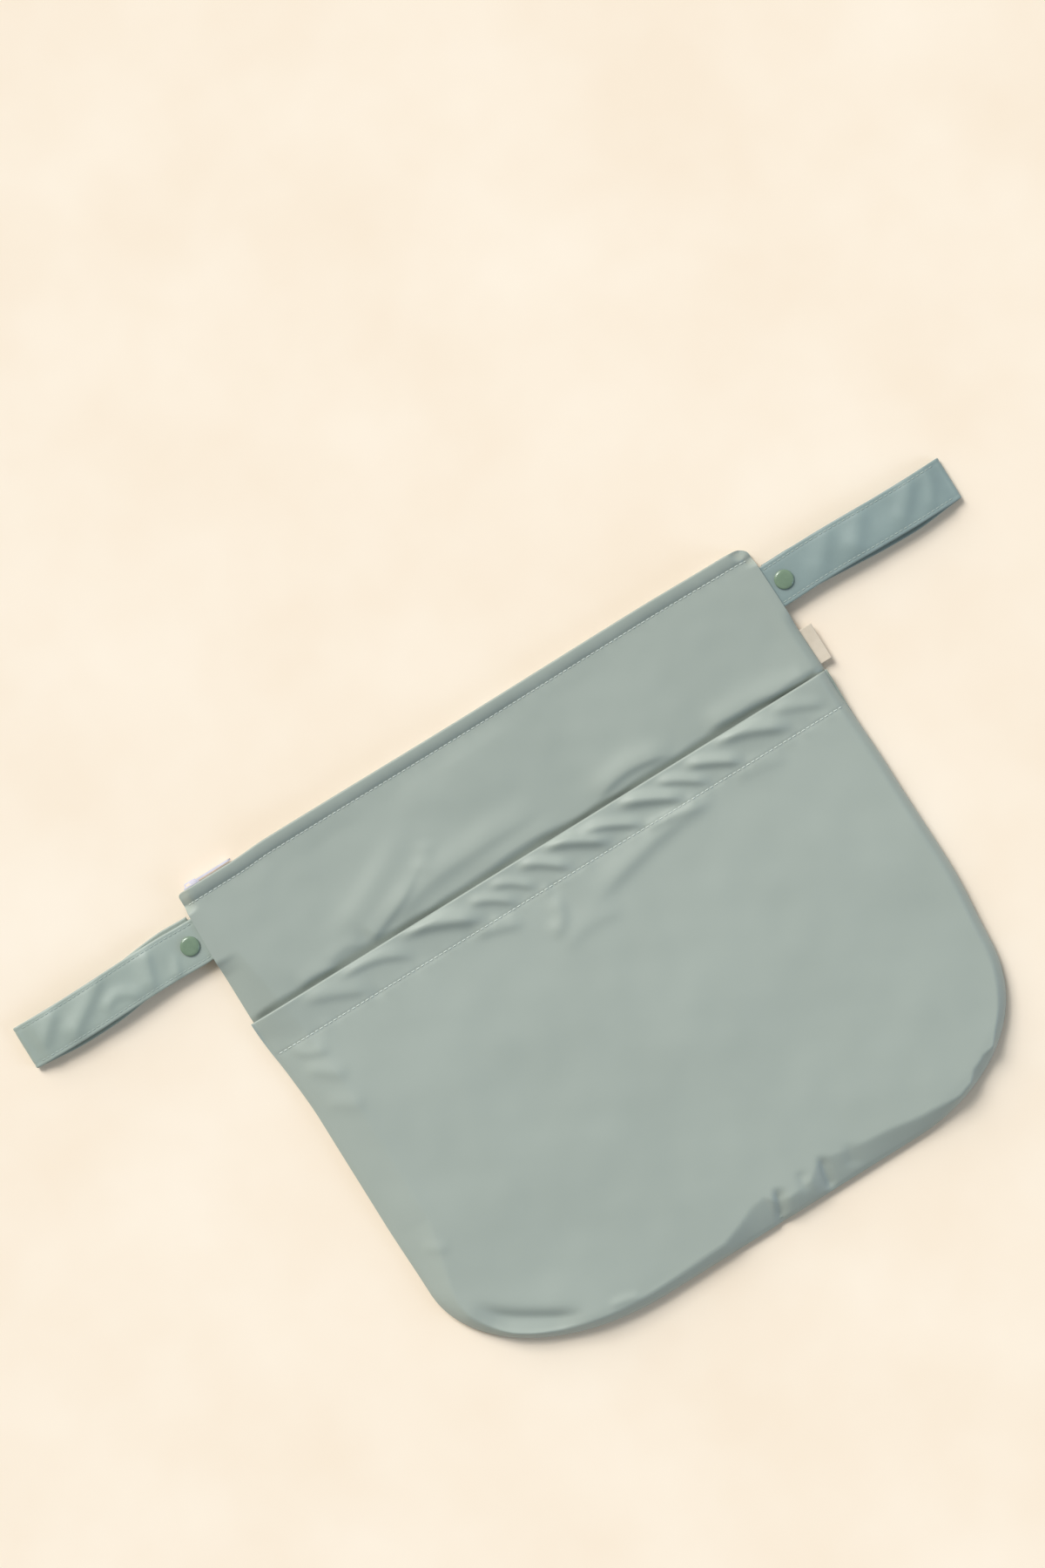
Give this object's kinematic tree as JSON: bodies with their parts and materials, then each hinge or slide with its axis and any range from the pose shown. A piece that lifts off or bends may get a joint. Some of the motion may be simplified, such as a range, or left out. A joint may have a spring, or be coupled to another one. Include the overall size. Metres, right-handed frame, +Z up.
{
  "type": "zipped cloth wet bag with snap strap loops",
  "caption": "Flat soft cloth bag with a zipped mouth, a hemmed outer pocket, two snap-closed side strap loops and a blank side label, lying flat.",
  "frame": {"origin": "middle of the footprint, on the surface that the bag lies on", "axes": "+X along the mouth and the two straps towards the labelled side, +Y from the bottom seam to the mouth, +Z up out of the front"},
  "size_m": [0.5824, 0.3228, 0.017],
  "materials": {
    "bag_cloth": "soft satin laminated cloth",
    "strap_cloth": "soft satin laminated cloth",
    "snap_plastic": "gloss",
    "zip_tape": "woven tape",
    "zip_plastic": "gloss",
    "label_tape": "woven satin tape"
  },
  "bodies": {
    "bag": {"back_panel": "bag_cloth", "front_panel": "bag_cloth", "pocket_panel": "bag_cloth", "zipper_tape_back": "zip_tape", "zipper_tape_front": "zip_tape", "zipper_coil": "zip_plastic", "zipper_slider": "zip_plastic", "strap_left": "strap_cloth", "strap_right": "strap_cloth", "snap_cap_left": "snap_plastic", "snap_socket_left": "snap_plastic", "snap_stud_left": "snap_plastic", "snap_undercap_left": "snap_plastic", "snap_cap_right": "snap_plastic", "snap_socket_right": "snap_plastic", "snap_stud_right": "snap_plastic", "snap_undercap_right": "snap_plastic", "side_label": "label_tape"},
    "pull_tab": {"zipper_pull": "zip_plastic"}
  },
  "joints": [
    {"name": "pull_swing", "type": "hinge", "parent": "bag", "child": "pull_tab", "pos_m": [-0.169, 0.16014, 0.0039], "axis": [0, 0, 1], "range_deg": [0, 170]}
  ]
}
